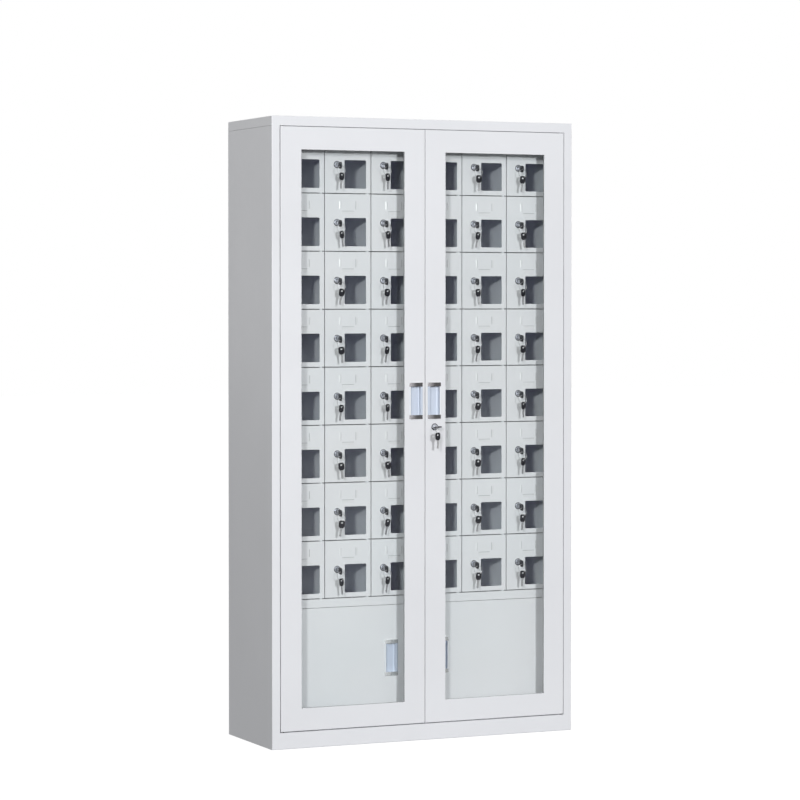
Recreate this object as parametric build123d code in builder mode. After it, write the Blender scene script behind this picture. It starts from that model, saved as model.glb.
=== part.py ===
"""Steel phone locker cabinet: two glass outer doors over a bank of keyed cell doors.

Origin at the centre of the base, +Z up, the front faces -Y, all sizes in millimetres.
"""

import os

from build123d import *

# Cabinet
cabinet_width = 984.0
cabinet_depth = 350.0
cabinet_height = 1850.0
sheet = 1.0
side_frame_width = 25.5
header_height = 28.0
toe_height = 48.5
base_flange = 25.0
base_strap = 60.0
bend_radius = 0.8

# Glass doors
glass_door_side_gap = 2.0
glass_door_end_gap = 3.0
glass_door_thickness = 18.0
glass_door_stile = 66.0
door_back_lip = 12.0
pane_overlap = 8.0
pane_play = 0.5
pane_lip = 2.0
pane_thickness = 4.0
bead_width = 8.0
bead_depth = 6.0
glass_pivot_inset = 6.0
glass_pivot_depth = 4.0

# Locker bank behind the glass doors
cell_columns = 6
cell_rows = 8
bank_front_depth = 59.5
bank_side_margin = 42.0
bank_top_margin = 50.0
bank_bottom = 430.0
rail_height = 27.5
rail_seat_depth = 15.0
seam = 2.5
leaf_to_rack = 0.5

# Cell doors
cell_leaf_depth = 10.0
cell_pivot_inset = 9.0
cell_pivot_depth = 5.0
window_right_margin = 16.0
window_left_margin = 64.5
window_bottom_margin = 15.2
window_top_margin = 72.0
window_corner = 4.0
cell_pane_overlap = 7.0
cell_pane_thickness = 2.0

# Card holder pressed into each cell door
card_width = 55.6
card_tab_width = 4.0
card_tab_height = 24.0
card_tab_top = 22.0
card_rest_width = 37.0
card_rest_height = 5.0
card_rest_top = 52.0
card_relief = 1.2
card_edge = 0.5

# Lower doors
lower_leaf_depth = 15.0
lower_pivot_inset = 9.0
lower_pivot_depth = 5.0
lower_handle_offset = 84.0
lower_handle_z = 244.0

# Pivot pins
running_gap = 0.3
pivot_play = 0.1
cell_pin_radius = 2.0
cell_pin_reach = 4.5
lug_radius = 4.0
door_pin_radius = 2.5
door_pin_reach = 5.0
door_pin_tail = 3.0
door_pin_collar = 3.8

# Recessed handles
handle_width = 43.0
handle_height = 108.5
handle_rim = 2.0
handle_rim_proud = 1.0
handle_cup_depth = 12.0
handle_wall = 1.5
handle_corner = 5.0
handle_grip_width = 9.0
handle_grip_thickness = 3.0
handle_cap_height = 12.0
handle_cap_proud = 2.5
handle_cap_edge = 0.9
glass_handle_offset = 30.0
glass_handle_z = 1013.5
cutout_play = 0.2

# Cam locks
bezel_radius = 10.5
bezel_height = 2.2
bezel_edge = 0.7
barrel_radius = 8.0
cell_barrel_length = 17.0
nut_width = 19.0
nut_height = 4.0
keyway_height = 8.0
keyway_width = 2.6
cam_width = 9.0
cam_thickness = 2.0
cell_cam_reach = 28.0
cam_screw_radius = 4.0
cam_screw_height = 2.0
lock_offset = 40.0
lock_below_window_top = 14.0
plug_radius = 6.5
plug_proud = 0.2
glass_lock_offset = 31.0
glass_lock_below_handle = 78.5
glass_cam_reach = 35.0
glass_cam_gap = 1.5

# Keys and rings
key_blade_length = 25.0
key_blade_height = 7.5
key_blade_thickness = 2.2
key_bow_width = 20.0
key_bow_length = 23.0
key_bow_thickness = 2.6
key_bow_corner = 6.0
key_hole_radius = 2.5
key_hole_from_end = 7.0
key_shoulder_gap = 9.8
ring_radius = 12.5
ring_wire_radius = 0.7
ring_play = 0.2
glass_ring_drop = 8.5
glass_ring_turn = 229.5

# ---- Levels and planes that follow from the sizes above ----
front = -cabinet_depth / 2
back = cabinet_depth / 2
inner_side = cabinet_width / 2 - sheet
frame_side = cabinet_width / 2 - side_frame_width
header_underside = cabinet_height - header_height
door_edge = frame_side - glass_door_side_gap
door_bottom = toe_height + glass_door_end_gap
door_top = header_underside - glass_door_end_gap
glass_door_back = front + glass_door_thickness
pane_front = front + pane_lip
pane_back = pane_front + pane_thickness

bank_front = front + bank_front_depth
rack_front = bank_front + cell_leaf_depth + leaf_to_rack
rack_back = back - sheet
bank_half = cabinet_width / 2 - bank_side_margin
bank_top = cabinet_height - bank_top_margin
cell_width = 2 * bank_half / cell_columns
cell_height = (bank_top - bank_bottom) / cell_rows
rail_bottom = bank_bottom - rail_height
column_lines = [-bank_half + column * cell_width for column in range(cell_columns + 1)]
shelf_lines = [bank_bottom + row * cell_height for row in range(cell_rows + 1)]
cell_pivot_x = cell_width - seam / 2 - cell_pivot_inset
cell_pivot_y = bank_front + cell_pivot_depth

lower_edge = bank_half - seam / 2
lower_bottom = toe_height + seam
lower_top = rail_bottom - seam / 2
lower_pivot = (lower_edge - lower_pivot_inset, bank_front + lower_pivot_depth)
glass_pivot = (door_edge - glass_pivot_inset, front + glass_pivot_depth)

window_width = cell_width - window_left_margin - window_right_margin
window_height = cell_height - window_top_margin - window_bottom_margin
window_x = window_left_margin + window_width / 2
window_z = window_bottom_margin + window_height / 2
lock_z = window_bottom_margin + window_height - lock_below_window_top

glass_lock_z = glass_handle_z - glass_lock_below_handle
key_hole_reach = bezel_height + key_shoulder_gap + key_bow_length - key_hole_from_end
hang_slack = key_hole_radius - ring_wire_radius - ring_play


def facing(y):
    """Upright sketch plane at depth y, with its normal towards the front."""
    return Plane.XZ.offset(-y)


def block(x, y, z, mode=Mode.ADD):
    """Box between the (low, high) pairs x, y and z."""
    centre = tuple((low + high) / 2 for low, high in (x, y, z))
    with Locations(centre):
        Box(x[1] - x[0], y[1] - y[0], z[1] - z[0], mode=mode)


def symmetric(half):
    """The (low, high) pair of a span centred on zero."""
    return (-half, half)


def window_ring(x, z, grow_outer, grow_inner, inner_x, inner_z):
    """Rectangular ring between the spans x, z and inner_x, inner_z, each grown by its margin."""
    with Locations(((x[0] + x[1]) / 2, (z[0] + z[1]) / 2)):
        Rectangle(x[1] - x[0] + 2 * grow_outer, z[1] - z[0] + 2 * grow_outer)
    with Locations(((inner_x[0] + inner_x[1]) / 2, (inner_z[0] + inner_z[1]) / 2)):
        Rectangle(
            inner_x[1] - inner_x[0] + 2 * grow_inner,
            inner_z[1] - inner_z[0] + 2 * grow_inner,
            mode=Mode.SUBTRACT,
        )


def soften_front(part, y):
    """Round the outer edges that bound the front face at depth y."""
    face = part.faces().filter_by(Plane.XZ).filter_by(lambda f: abs(f.center().Y - y) < sheet / 2)
    fillet(face.sort_by(SortBy.AREA)[-1].outer_wire().edges(), bend_radius)


def mirrored(part):
    """The same piece on the other side of the cabinet."""
    with BuildPart() as other:
        mirror(part, about=Plane.YZ)
    return other.part


def node(label, pieces):
    """Write separate solids as one labelled node."""
    group = Compound(label=label, children=[piece.moved(Location()) for piece in pieces])
    export_step(group, f"parts/{label}.step")


os.makedirs("parts", exist_ok=True)

# ---- Cabinet shell ----
with BuildPart() as left_side:
    with BuildSketch():
        with Locations((-cabinet_width / 2, front)):
            Rectangle(sheet, cabinet_depth, align=Align.MIN)
            Rectangle(side_frame_width, sheet, align=Align.MIN)
    extrude(amount=cabinet_height)
left_side.part.label = "left_side"

with BuildPart() as left_jamb:
    with BuildSketch(Plane.XY.offset(toe_height)):
        with Locations((-frame_side - sheet, front + sheet)):
            Rectangle(sheet, rack_front - front, align=Align.MIN)
        with Locations((-frame_side - sheet, rack_front)):
            Rectangle(frame_side + sheet / 2 - bank_half, sheet, align=Align.MIN)
    extrude(amount=header_underside - toe_height)
left_jamb.part.label = "left_jamb"

with BuildPart() as roof:
    block(symmetric(inner_side), (front + sheet, back), (cabinet_height - sheet, cabinet_height))
    block(symmetric(frame_side), (front, front + sheet), (header_underside, cabinet_height))
    block(
        symmetric(inner_side),
        (front + sheet, rack_front + sheet),
        (header_underside, header_underside + sheet),
    )
    block(
        symmetric(bank_half + sheet / 2),
        (rack_front, rack_front + sheet),
        (bank_top + sheet / 2, header_underside + sheet),
    )
    with BuildSketch(Plane.XY.offset(header_underside)):
        with Locations(glass_pivot, (-glass_pivot[0], glass_pivot[1])):
            Circle(door_pin_radius)
    extrude(amount=sheet, mode=Mode.SUBTRACT)
roof.part.label = "roof"

with BuildPart() as base:
    block(symmetric(inner_side), (front + sheet, rack_back), (toe_height - sheet, toe_height))
    block(symmetric(frame_side), (front, front + sheet), (0, toe_height))
    block(symmetric(inner_side), (front + sheet, rack_back), (0, sheet))
    block(
        symmetric(inner_side - base_flange),
        (front + sheet + base_flange, rack_back - base_flange),
        (0, sheet),
        mode=Mode.SUBTRACT,
    )
    block(symmetric(base_strap / 2), (front + sheet, rack_back), (0, sheet))
    with BuildSketch(Plane.XY.offset(toe_height)):
        for pivot_x, pivot_y in (glass_pivot, lower_pivot):
            with Locations((pivot_x, pivot_y), (-pivot_x, pivot_y)):
                Circle(door_pin_radius)
    extrude(amount=-sheet, mode=Mode.SUBTRACT)
base.part.label = "base"

with BuildPart() as back_panel:
    block(symmetric(inner_side), (rack_back, back), (0, cabinet_height - sheet))
back_panel.part.label = "back_panel"

node(
    "cabinet_shell",
    [
        left_side.part,
        mirrored(left_side.part),
        left_jamb.part,
        mirrored(left_jamb.part),
        roof.part,
        base.part,
        back_panel.part,
    ],
)

# ---- Rack: two liners, a shelf with hinge lugs under every row, dividers and the rail ----
rack = []

with BuildPart() as left_liner:
    block(
        (-bank_half - sheet / 2, -bank_half + sheet / 2),
        (rack_front, rack_back),
        (toe_height, bank_top + sheet / 2),
    )
left_liner.part.label = "left_liner"
rack += [left_liner.part, mirrored(left_liner.part)]

lug_thickness = seam - 2 * running_gap
pivot_spots = [(line + cell_pivot_x, cell_pivot_y) for line in column_lines[:-1]]

with BuildPart() as shelf:
    block(
        symmetric(bank_half - sheet / 2),
        (rack_front, rack_back),
        symmetric(sheet / 2),
    )
    with BuildSketch():
        with Locations(pivot_spots):
            Circle(lug_radius)
            Rectangle(
                2 * lug_radius, rack_front - cell_pivot_y, align=(Align.CENTER, Align.MIN)
            )
    extrude(amount=lug_thickness / 2, both=True)
    with BuildSketch():
        with Locations(pivot_spots):
            Circle(cell_pin_radius)
    extrude(amount=lug_thickness, both=True, mode=Mode.SUBTRACT)
shelf.part.label = "shelf"
rack += [shelf.part.moved(Location((0, 0, line))) for line in shelf_lines]

with BuildPart() as divider:
    block(
        symmetric(sheet / 2),
        (rack_front, rack_back),
        (sheet / 2, cell_height - sheet / 2),
    )
divider.part.label = "divider"
rack += [
    divider.part.moved(Location((x, 0, z)))
    for x in column_lines[1:-1]
    for z in shelf_lines[:-1]
]

rail_top = bank_bottom - seam / 2
rail_underside = rail_bottom + seam / 2
with BuildPart() as rail:
    block(
        symmetric(bank_half - sheet / 2),
        (bank_front, rack_front + rail_seat_depth),
        (rail_underside, rail_top),
    )
    block(
        symmetric(bank_half - sheet / 2),
        (bank_front + sheet, rack_front + rail_seat_depth),
        (rail_underside + sheet, rail_top - sheet),
        mode=Mode.SUBTRACT,
    )
    with BuildSketch(Plane.XY.offset(rail_underside)):
        with Locations(lower_pivot, (-lower_pivot[0], lower_pivot[1])):
            Circle(door_pin_radius)
    extrude(amount=sheet, mode=Mode.SUBTRACT)
    with BuildSketch(Plane.XY.offset(rail_top)):
        with Locations(pivot_spots):
            Circle(cell_pin_radius)
    extrude(amount=-sheet, mode=Mode.SUBTRACT)
rail.part.label = "rail"
rack.append(rail.part)

node("cell_rack", rack)

# ---- Pivot pins of all the doors ----
with BuildPart() as cell_pin:
    Cylinder(cell_pin_radius, lug_thickness + 2 * (running_gap + cell_pin_reach))
cell_pin.part.label = "cell_pin"

pins = [
    cell_pin.part.moved(Location((x, y, z))) for x, y in pivot_spots for z in shelf_lines
]


def door_pin(gap):
    """Pin seated under a sheet at z = 0, its collar filling the gap to the door below."""
    with BuildPart() as pin:
        with BuildSketch(Plane.XY.offset(sheet + door_pin_tail)):
            Circle(door_pin_radius)
        extrude(amount=-(sheet + door_pin_tail + gap + door_pin_reach))
        with BuildSketch():
            Circle(door_pin_collar)
        extrude(amount=running_gap - gap)
    return pin.part


for (pivot_x, pivot_y), gap, ceiling in (
    (glass_pivot, glass_door_end_gap, header_underside),
    (lower_pivot, seam, rail_underside),
):
    hanging = door_pin(gap)
    standing = mirror(hanging, about=Plane.XY)
    for x in (-pivot_x, pivot_x):
        pins.append(hanging.moved(Location((x, pivot_y, ceiling))))
        pins.append(standing.moved(Location((x, pivot_y, toe_height))))

node("hinge_pins", pins)


# ---- Keys, key ring and cam lock pieces ----
with BuildPart() as key:
    # Bow hole at the origin, blade along +Y
    with BuildSketch(Plane.YZ):
        with Locations((key_bow_length / 2 - key_hole_from_end, 0)):
            RectangleRounded(key_bow_length, key_bow_width, key_bow_corner)
        Circle(key_hole_radius, mode=Mode.SUBTRACT)
    extrude(amount=key_bow_thickness / 2, both=True)
    with BuildSketch(Plane.YZ):
        with Locations((key_bow_length - key_hole_from_end, 0)):
            Rectangle(key_blade_length, key_blade_height, align=(Align.MIN, Align.CENTER))
    extrude(amount=key_blade_thickness / 2, both=True)
key.part.label = "key"

with BuildPart() as key_ring:
    Torus(ring_radius, ring_wire_radius, rotation=(90, 0, 0))
key_ring.part.label = "key_ring"

hanging_key = key.part.rotate(Axis.X, -90)


def lock_front(x, y, z, length, bore):
    """Lock body: a bezel on the face at depth y, its threaded barrel behind and its bore."""
    with BuildPart() as body:
        with BuildSketch(facing(y)):
            with Locations((x, z)):
                Circle(bezel_radius)
        extrude(amount=bezel_height)
        fillet(body.edges().sort_by(Axis.Y)[0], bezel_edge)
        with BuildSketch(facing(y)):
            with Locations((x, z)):
                Circle(barrel_radius)
        extrude(amount=-length)
        with BuildSketch(facing(y - bezel_height)):
            with Locations((x, z)):
                if bore:
                    Circle(bore)
                else:
                    Rectangle(keyway_width, keyway_height)
        cut_depth = length + bezel_height - (0 if bore else cam_thickness)
        extrude(amount=-cut_depth, mode=Mode.SUBTRACT)
    return body.part


def lock_nut(x, y, z):
    """Hexagonal nut that clamps a barrel behind the sheet whose back is at depth y."""
    with BuildPart() as nut:
        with BuildSketch(facing(y)):
            with Locations((x, z)):
                RegularPolygon(nut_width / 2, 6, major_radius=False)
                Circle(barrel_radius, mode=Mode.SUBTRACT)
        extrude(amount=-nut_height)
    return nut.part


def lock_cam(x, y, z, reach, up):
    """Cam plate at depth y with its screw, pointing up or down in the released position."""
    with BuildPart() as cam:
        with BuildSketch(facing(y)):
            with Locations((x, z)):
                Circle(cam_width / 2)
                Rectangle(
                    cam_width,
                    reach,
                    align=(Align.CENTER, Align.MIN if up else Align.MAX),
                )
        extrude(amount=-cam_thickness)
        with BuildSketch(facing(y + cam_thickness)):
            with Locations((x, z)):
                Circle(cam_screw_radius)
        extrude(amount=-cam_screw_height)
    return cam.part


# ---- Cell doors ----
leaf_x = (seam / 2, cell_width - seam / 2)
leaf_z = (seam / 2, cell_height - seam / 2)

with BuildPart() as cell_leaf:
    block(leaf_x, (bank_front, bank_front + cell_leaf_depth), leaf_z)
    soften_front(cell_leaf, bank_front)
    block(
        (leaf_x[0] + sheet, leaf_x[1] - sheet),
        (bank_front + sheet, bank_front + cell_leaf_depth),
        (leaf_z[0] + sheet, leaf_z[1] - sheet),
        mode=Mode.SUBTRACT,
    )
    with BuildSketch(facing(bank_front)):
        with Locations((window_x, window_z)):
            RectangleRounded(window_width, window_height, window_corner)
        with Locations((lock_offset, lock_z)):
            Circle(barrel_radius + cutout_play)
    extrude(amount=-sheet, mode=Mode.SUBTRACT)
    with BuildSketch():
        with Locations((cell_pivot_x, cell_pivot_y)):
            Circle(cell_pin_radius + pivot_play)
    extrude(amount=cell_height, mode=Mode.SUBTRACT)
    with BuildSketch(facing(bank_front)):
        with Locations(
            ((cell_width - card_width) / 2, cell_height - card_tab_top),
            ((cell_width + card_width) / 2, cell_height - card_tab_top),
        ):
            Rectangle(card_tab_width, card_tab_height, align=(Align.CENTER, Align.MAX))
        with Locations((cell_width / 2, cell_height - card_rest_top)):
            Rectangle(card_rest_width, card_rest_height, align=(Align.CENTER, Align.MAX))
    extrude(amount=card_relief)
    raised = cell_leaf.faces().filter_by(Plane.XZ).group_by(Axis.Y)[0]
    fillet(raised.edges(), card_edge)
cell_leaf.part.label = "cell_leaf"

with BuildPart() as cell_pane:
    with BuildSketch(facing(bank_front + sheet)):
        with Locations((window_x, window_z)):
            Rectangle(
                window_width + 2 * cell_pane_overlap,
                window_height + 2 * cell_pane_overlap,
            )
    extrude(amount=-cell_pane_thickness)
cell_pane.part.label = "cell_pane"

cell_key_place = Location((lock_offset, bank_front - key_hole_reach, lock_z))
cell_ring_drop = hang_slack + ring_radius
cell_door_pieces = [
    cell_leaf.part,
    cell_pane.part,
    lock_front(lock_offset, bank_front, lock_z, cell_barrel_length, bore=0),
    lock_nut(lock_offset, bank_front + sheet, lock_z),
    lock_cam(lock_offset, bank_front + cell_barrel_length, lock_z, cell_cam_reach, up=False),
    key.part.moved(cell_key_place),
    key_ring.part.moved(cell_key_place * Location((0, 0, -cell_ring_drop))),
    hanging_key.moved(cell_key_place * Location((0, 0, -2 * cell_ring_drop))),
]

for row in range(cell_rows):
    for column in range(cell_columns):
        corner = Location((column_lines[column], 0, shelf_lines[cell_rows - 1 - row]))
        node(
            f"cell_door_row{row + 1}_col{column + 1}",
            [piece.moved(corner) for piece in cell_door_pieces],
        )


# ---- Recessed handles ----
def handle(x, y, z):
    """Grip channel and its two end caps, set into a door face at depth y."""
    half_length = handle_height / 2 - handle_cap_height
    cup_width = handle_width - 2 * handle_rim
    cavity_width = cup_width - 2 * handle_wall

    with BuildSketch() as cavity:
        with Locations((x, y - handle_rim_proud)):
            Rectangle(
                cavity_width,
                handle_cup_depth + handle_rim_proud - handle_wall,
                align=(Align.CENTER, Align.MIN),
            )
        fillet(cavity.vertices().group_by(Axis.Y)[-1], handle_corner)

    with BuildPart() as channel:
        with BuildSketch(Plane.XY.offset(z - half_length)):
            with Locations((x, y)):
                Rectangle(handle_width, handle_rim_proud, align=(Align.CENTER, Align.MAX))
                Rectangle(cup_width, handle_cup_depth, align=(Align.CENTER, Align.MIN))
            add(cavity.sketch, mode=Mode.SUBTRACT)
            with Locations((x + cavity_width / 2, y - handle_rim_proud)):
                Rectangle(
                    handle_grip_width,
                    handle_grip_thickness,
                    align=(Align.MAX, Align.MIN),
                )
        extrude(amount=2 * half_length)

    pieces = [channel.part]
    for top in (False, True):
        near, far = half_length, handle_height / 2
        outer = (z + near, z + far) if top else (z - far, z - near)
        inner = (z + near, z + far - handle_rim) if top else (z - far + handle_rim, z - near)
        with BuildPart() as cap:
            block((x - handle_width / 2, x + handle_width / 2), (y - handle_cap_proud, y), outer)
            fillet(cap.faces().sort_by(Axis.Y)[0].edges(), handle_cap_edge)
            block((x - cup_width / 2, x + cup_width / 2), (y, y + handle_cup_depth), inner)
        pieces.append(cap.part)
    return pieces


def cut_handle_opening(x, y, z):
    """Opening in the door sheet at depth y that takes one handle's cup."""
    half_width = handle_width / 2 - handle_rim + cutout_play
    half_height = handle_height / 2 - handle_rim + cutout_play
    block(
        (x - half_width, x + half_width),
        (y, y + sheet),
        (z - half_height, z + half_height),
        mode=Mode.SUBTRACT,
    )


def cut_pivot_holes(x, y, z):
    """Holes for the pins in the bottom and top flanges of a door, z being its (low, high)."""
    with Locations((x, y, z[0] + sheet / 2), (x, y, z[1] - sheet / 2)):
        Cylinder(door_pin_radius + pivot_play, sheet, mode=Mode.SUBTRACT)


# ---- Glass doors ----
door_x = (-door_edge, -seam / 2)
door_z = (door_bottom, door_top)
view_x = (door_x[0] + glass_door_stile, door_x[1] - glass_door_stile)
view_z = (door_z[0] + glass_door_stile, door_z[1] - glass_door_stile)

with BuildPart() as left_glass_door:
    block(door_x, (front, glass_door_back), door_z)
    soften_front(left_glass_door, front)
    block(view_x, (front, glass_door_back), view_z, mode=Mode.SUBTRACT)
    block(
        (view_x[0] - pane_overlap, view_x[1] + pane_overlap),
        (pane_front, glass_door_back),
        (view_z[0] - pane_overlap, view_z[1] + pane_overlap),
        mode=Mode.SUBTRACT,
    )
    # Hollow of the folded channel, then the slot between its back lips
    with BuildSketch(facing(front + sheet)):
        window_ring(door_x, door_z, -sheet, pane_overlap + sheet, view_x, view_z)
    extrude(amount=-(glass_door_thickness - 2 * sheet), mode=Mode.SUBTRACT)
    with BuildSketch(facing(glass_door_back - sheet)):
        window_ring(
            door_x, door_z, -door_back_lip, pane_overlap + door_back_lip, view_x, view_z
        )
    extrude(amount=-sheet, mode=Mode.SUBTRACT)
    cut_handle_opening(-glass_handle_offset, front, glass_handle_z)
    cut_pivot_holes(-glass_pivot[0], glass_pivot[1], door_z)
left_glass_door.part.label = "left_glass_door"
export_step(left_glass_door.part, "parts/left_glass_door.step")

with BuildPart() as right_glass_door:
    mirror(left_glass_door.part, about=Plane.YZ)
    with BuildSketch(facing(front)):
        with Locations((glass_lock_offset, glass_lock_z)):
            Circle(barrel_radius + cutout_play)
    extrude(amount=-sheet, mode=Mode.SUBTRACT)
right_glass_door.part.label = "right_glass_door"
export_step(right_glass_door.part, "parts/right_glass_door.step")

pane_margin = pane_overlap - pane_play
with BuildPart() as left_pane:
    with BuildSketch(facing(pane_front)):
        with Locations(((view_x[0] + view_x[1]) / 2, (view_z[0] + view_z[1]) / 2)):
            Rectangle(
                view_x[1] - view_x[0] + 2 * pane_margin,
                view_z[1] - view_z[0] + 2 * pane_margin,
            )
    extrude(amount=-pane_thickness)
left_pane.part.label = "left_pane"

with BuildPart() as left_bead:
    with BuildSketch(facing(pane_back)):
        window_ring(view_x, view_z, pane_margin, pane_margin - bead_width, view_x, view_z)
    extrude(amount=-bead_depth)
left_bead.part.label = "left_bead"

node("left_glass_pane", [left_pane.part, left_bead.part])
node("right_glass_pane", [mirrored(left_pane.part), mirrored(left_bead.part)])

# ---- Glass door handles and the lock in the right glass door ----
left_handle = handle(-glass_handle_offset, front, glass_handle_z)
node("left_glass_door_handle", left_handle)

glass_barrel_length = glass_door_thickness + glass_cam_gap / 2
node(
    "right_glass_door_hardware",
    [mirrored(piece) for piece in left_handle]
    + [
        lock_front(
            glass_lock_offset,
            front,
            glass_lock_z,
            glass_barrel_length,
            bore=plug_radius + pivot_play,
        ),
        lock_nut(glass_lock_offset, front + sheet, glass_lock_z),
    ],
)

glass_cam_y = glass_door_back + glass_cam_gap
with BuildPart() as plug:
    with BuildSketch(facing(front - bezel_height - plug_proud)):
        with Locations((glass_lock_offset, glass_lock_z)):
            Circle(plug_radius)
    extrude(amount=-(glass_cam_y - front + bezel_height + plug_proud))
    with BuildSketch(facing(front - bezel_height - plug_proud)):
        with Locations((glass_lock_offset, glass_lock_z)):
            Rectangle(keyway_height, keyway_width)
    extrude(amount=-glass_door_thickness, mode=Mode.SUBTRACT)
plug.part.label = "plug"

# The key lies flat and its ring hangs over a corner of the bow
key_hole_place = Location((glass_lock_offset, front - key_hole_reach, glass_lock_z))
ring_turn = Location((0, 0, 0), (0, 0, glass_ring_turn))
ring_shift = (ring_radius**2 - glass_ring_drop**2) ** 0.5
ring_place = key_hole_place * ring_turn * Location((ring_shift, 0, -glass_ring_drop))
spare_place = ring_place * Location((0, 0, -ring_radius - hang_slack))

node(
    "glass_door_lock",
    [
        plug.part,
        lock_cam(glass_lock_offset, glass_cam_y, glass_lock_z, glass_cam_reach, up=True),
        key.part.rotate(Axis.Y, 90).moved(key_hole_place),
        key_ring.part.moved(ring_place),
        hanging_key.moved(spare_place),
    ],
)

# ---- Lower doors ----
lower_x = (-lower_edge, -seam / 2)
lower_z = (lower_bottom, lower_top)
lower_back = bank_front + lower_leaf_depth

with BuildPart() as left_lower_leaf:
    block(lower_x, (bank_front, lower_back), lower_z)
    soften_front(left_lower_leaf, bank_front)
    block(
        (lower_x[0] + sheet, lower_x[1] - sheet),
        (bank_front + sheet, lower_back - sheet),
        (lower_z[0] + sheet, lower_z[1] - sheet),
        mode=Mode.SUBTRACT,
    )
    block(
        (lower_x[0] + door_back_lip, lower_x[1] - door_back_lip),
        (lower_back - sheet, lower_back),
        (lower_z[0] + door_back_lip, lower_z[1] - door_back_lip),
        mode=Mode.SUBTRACT,
    )
    cut_handle_opening(-lower_handle_offset, bank_front, lower_handle_z)
    cut_pivot_holes(-lower_pivot[0], lower_pivot[1], lower_z)
left_lower_leaf.part.label = "left_lower_leaf"

lower_handle = handle(-lower_handle_offset, bank_front, lower_handle_z)
left_lower_pieces = [left_lower_leaf.part, *lower_handle]
node("left_lower_door", left_lower_pieces)
node("right_lower_door", [mirrored(piece) for piece in left_lower_pieces])
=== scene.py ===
"""Looks of the phone locker cabinet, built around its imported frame.

Sizes are in millimetres until finish_piece turns them into metres. The left glass door and lower door are
drawn where they stand, and the right ones are their mirror images. Cell doors are drawn with their lower
left corner at the origin, and locks and keys about the lock's axis, with the door's face at y = 0.
"""

import math
import random

import bmesh
import bpy
from mathutils import Matrix, Vector


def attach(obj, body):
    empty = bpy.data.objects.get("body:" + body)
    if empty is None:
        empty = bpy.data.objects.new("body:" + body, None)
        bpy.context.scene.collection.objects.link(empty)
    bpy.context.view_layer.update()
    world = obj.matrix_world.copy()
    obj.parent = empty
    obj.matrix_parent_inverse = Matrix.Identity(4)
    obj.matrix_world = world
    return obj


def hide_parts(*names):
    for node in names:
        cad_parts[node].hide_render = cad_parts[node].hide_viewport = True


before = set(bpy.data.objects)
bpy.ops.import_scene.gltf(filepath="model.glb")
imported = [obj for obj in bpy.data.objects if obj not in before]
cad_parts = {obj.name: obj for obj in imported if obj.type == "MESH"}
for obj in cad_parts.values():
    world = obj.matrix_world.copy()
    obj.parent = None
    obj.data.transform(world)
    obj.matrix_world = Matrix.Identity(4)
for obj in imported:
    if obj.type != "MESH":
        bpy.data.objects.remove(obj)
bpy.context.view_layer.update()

# ---- Sizes of the cabinet, as in the solids, but for the header, which reaches 0.7 further down ----
SHEET = 1.0
HALF_WIDTH, FRONT, BACK, HEIGHT = 492.0, -175.0, 175.0, 1850.0
INNER_SIDE = HALF_WIDTH - SHEET
STRIP_X, TOE, HEADER = HALF_WIDTH - 25.5, 48.5, 1821.3
FRAME_BEND, JAMB_BEND, JAMB_CORNER = 2.0, 1.4, 0.3
BASE_FLANGE, BASE_STRAP = 25.0, 60.0
BANK_FRONT, RACK_FRONT, RACK_BACK = -115.5, -105.0, BACK - SHEET
BANK_HALF, BANK_BOTTOM, BANK_TOP = 450.0, 430.0, 1800.0
ROWS, COLUMNS = 8, 6
CELL_W, CELL_H = 2 * BANK_HALF / COLUMNS, (BANK_TOP - BANK_BOTTOM) / ROWS
SEAM = 2.5

# ---- Doors: the gaps between, below and above the glass doors are narrower than in the solids ----
GAP_SIDE, GAP_MIDDLE, GAP_BELOW, GAP_ABOVE = 2.0, 1.7, 2.7, 1.3
DOOR_X = (-STRIP_X + GAP_SIDE, -GAP_MIDDLE / 2)
DOOR_Z = (TOE + GAP_BELOW, HEADER - GAP_ABOVE)
DOOR_DEPTH, LOWER_DEPTH, LEAF_DEPTH, BACK_LIP = 18.0, 15.0, 10.0, 12.0
VIEW_X, VIEW_Z = (-398.5, -67.25), (117.5, 1753.0)
VIEW = (*VIEW_X, *VIEW_Z)
POCKET, PANE_FRONT, PANE_BACK, PANE_PLAY = 8.0, 2.0, 6.0, 0.5
LOWER_X = (-BANK_HALF + SEAM / 2, -SEAM / 2)
LOWER_Z = (TOE + SEAM, 402.5)
WINDOW = (64.5, 134.0, 15.2, 99.25)
WINDOW_CORNER, WINDOW_OVERLAP, WINDOW_PANE = 3.4, 7.0, 2.0
DOOR_BEND, DOOR_CORNER, VIEW_BEND, VIEW_CORNER = 1.3, 0.7, 0.9, 0.5
LEAF_BEND, LEAF_CORNER, WINDOW_BEND = 0.7, 0.5, 0.6
CARD_WIDTH, CARD_SIDE_LENGTH, CARD_REST_LENGTH = 55.6, 22.0, 37.0
CARD_SIDE_RUN, CARD_REST_RUN = 3.2, 6.0
CARD_CENTRE, CARD_MIDDLE, CARD_REST = CELL_W / 2 + 0.3, CELL_H - 34.8, CELL_H - 54.5
LUG_X, LUG_HALF = (135.4, 141.4), 1.15

# ---- Handles: (x, z) of their middles, and their sections ----
DOOR_HANDLE, LOWER_HANDLE = (-30.0, 1013.5), (-84.0, 244.0)
CHANNEL_HALF, CAP_HEIGHT, CAP_SEAT = 42.25, 12.0, 10.0
HANDLE_RIM, HANDLE_CUP, HANDLE_CAVITY = 21.5, 19.5, 18.0
CUP_DEPTH, CAVITY_DEPTH, CAVITY_BEND, GRIP_LIP = 12.0, 10.5, 8.0, 4.0
RIBS, RIB_PITCH, RIB_HEIGHT = 5, 4.0, 0.35
CAP_EDGE, CAP_PROUD, CAP_CROWN = 0.6, 0.9, 2.1

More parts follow.
